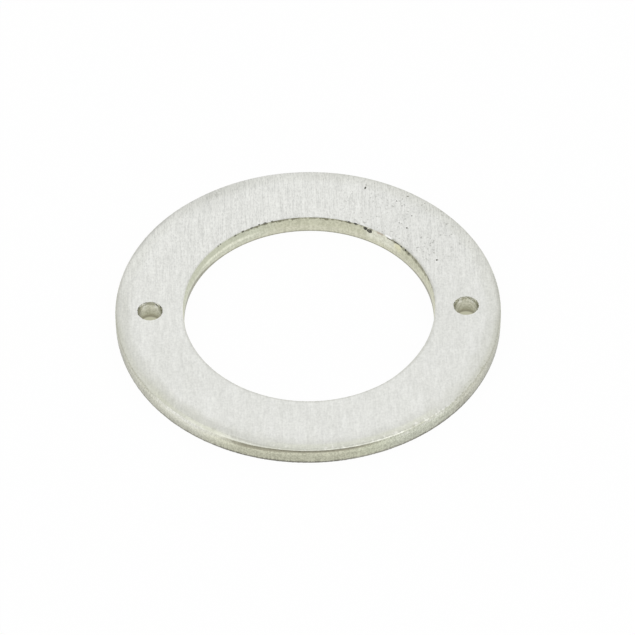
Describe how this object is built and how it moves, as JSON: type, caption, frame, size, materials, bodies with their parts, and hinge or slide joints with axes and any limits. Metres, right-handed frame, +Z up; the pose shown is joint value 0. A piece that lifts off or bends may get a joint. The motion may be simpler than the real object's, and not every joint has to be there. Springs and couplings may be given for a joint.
{
  "type": "return line gasket",
  "caption": "Flat pressed aluminium ring gasket with a wide bore, a rolled rim and small pin holes through its band.",
  "frame": {"origin": "on the bore's axis, in the plane that the ring rests on", "axes": "+Z up through the ring's thickness, along the bore's axis; +X through one of the two pin holes"},
  "size_m": [0.0324, 0.0324, 0.0016],
  "materials": {
    "aluminium": "mill finish with a fine straight grain on the faces, burnished and broken metal on the sheared edges"
  },
  "bodies": {
    "root": {"gasket_ring": "aluminium"}
  },
  "joints": []
}
